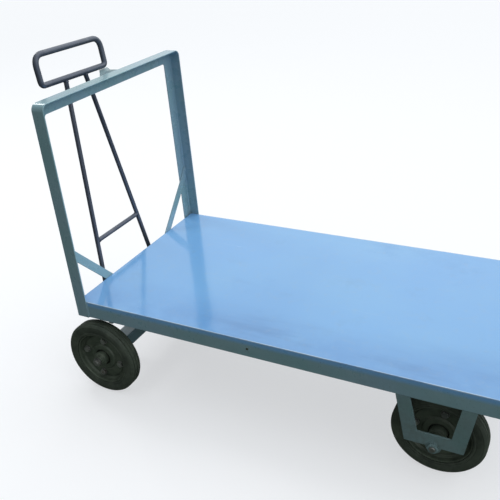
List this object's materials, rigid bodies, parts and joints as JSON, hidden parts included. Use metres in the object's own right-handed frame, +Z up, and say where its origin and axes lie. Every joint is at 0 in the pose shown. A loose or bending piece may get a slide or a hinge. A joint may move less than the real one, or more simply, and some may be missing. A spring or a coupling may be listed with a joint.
{
  "type": "platform trolley",
  "caption": "Flat-deck baggage platform trolley: steel deck with an angle-iron end hoop, steered front axle on a turntable, fixed rear forks and a hinged tow bar that parks upright.",
  "frame": {"origin": "on the floor, at the bottom centre of the whole trolley's box with the tow bar parked", "axes": "+X from the tow bar to the rear end, +Y across the deck to the trolley's right side when it travels towards -X, +Z up"},
  "size_m": [1.79, 0.904, 1.2283],
  "materials": {
    "deck_enamel": "glossy light-blue enamel",
    "frame_enamel": "glossy blue-grey enamel",
    "truck_enamel": "dark blue enamel",
    "dark_enamel": "dark gunmetal enamel",
    "wheel_steel": "dark satin paint, dusty",
    "tyre_rubber": "solid rubber, worn matt",
    "pin_steel": "dull bare steel"
  },
  "bodies": {
    "chassis": {"deck_sheet": "deck_enamel", "side_rail_left": "frame_enamel", "side_rail_right": "frame_enamel", "end_rail_front": "frame_enamel", "end_rail_rear": "frame_enamel", "cross_member_front": "frame_enamel", "cross_member_middle": "frame_enamel", "cross_member_rear": "frame_enamel", "turntable_bolster": "frame_enamel", "turntable_upper_plate": "frame_enamel", "kingpin": "pin_steel", "kingpin_nut": "pin_steel", "end_hoop": "frame_enamel", "hoop_brace_left": "frame_enamel", "hoop_brace_right": "frame_enamel", "parking_catch": "deck_enamel", "rear_fork_plate_left": "frame_enamel", "rear_fork_plate_right": "frame_enamel", "rear_fork_bracket_left": "frame_enamel", "rear_fork_bracket_right": "frame_enamel", "rear_axle_left": "pin_steel", "rear_axle_right": "pin_steel", "rear_axle_nut_left": "pin_steel", "rear_axle_nut_right": "pin_steel"},
    "front_truck": {"turntable_race": "pin_steel", "turntable_lower_plate": "truck_enamel", "axle_stand_front": "truck_enamel", "axle_stand_rear": "truck_enamel", "front_axle_beam": "truck_enamel", "stub_axle_left": "pin_steel", "stub_axle_right": "pin_steel", "stub_axle_nut_left": "pin_steel", "stub_axle_nut_right": "pin_steel", "tow_arm_left": "dark_enamel", "tow_arm_right": "dark_enamel", "tow_pin_left": "pin_steel", "tow_pin_right": "pin_steel"},
    "tow_bar": {"tow_rod_left": "dark_enamel", "tow_rod_right": "dark_enamel", "tow_eye_left": "dark_enamel", "tow_eye_right": "dark_enamel", "tow_bar_rung": "dark_enamel", "handle_crossbar": "dark_enamel", "handle_loop": "dark_enamel"},
    "wheel_front_left": {"tyre_front_left": "tyre_rubber", "wheel_disc_front_left": "wheel_steel", "hub_front_left": "wheel_steel"},
    "wheel_front_right": {"tyre_front_right": "tyre_rubber", "wheel_disc_front_right": "wheel_steel", "hub_front_right": "wheel_steel"},
    "wheel_rear_left": {"tyre_rear_left": "tyre_rubber", "wheel_disc_rear_left": "wheel_steel", "hub_rear_left": "wheel_steel"},
    "wheel_rear_right": {"tyre_rear_right": "tyre_rubber", "wheel_disc_rear_right": "wheel_steel", "hub_rear_right": "wheel_steel"}
  },
  "joints": [
    {"name": "steering", "type": "hinge", "parent": "chassis", "child": "front_truck", "pos_m": [-0.63505, 0, 0.3], "axis": [0, 0, 1], "range_deg": [-10, 10]},
    {"name": "tow_bar_hinge", "type": "hinge", "parent": "front_truck", "child": "tow_bar", "pos_m": [-0.76505, 0, 0.15], "axis": [0, -1, 0], "range_deg": [0, 90]},
    {"name": "wheel_spin_front_left", "type": "hinge", "parent": "front_truck", "child": "wheel_front_left", "pos_m": [-0.63505, -0.396, 0.15], "axis": [0, 1, 0], "continuous": true},
    {"name": "wheel_spin_front_right", "type": "hinge", "parent": "front_truck", "child": "wheel_front_right", "pos_m": [-0.63505, 0.396, 0.15], "axis": [0, 1, 0], "continuous": true},
    {"name": "wheel_spin_rear_left", "type": "hinge", "parent": "chassis", "child": "wheel_rear_left", "pos_m": [0.61895, -0.321, 0.15], "axis": [0, 1, 0], "continuous": true},
    {"name": "wheel_spin_rear_right", "type": "hinge", "parent": "chassis", "child": "wheel_rear_right", "pos_m": [0.61895, 0.321, 0.15], "axis": [0, 1, 0], "continuous": true}
  ]
}
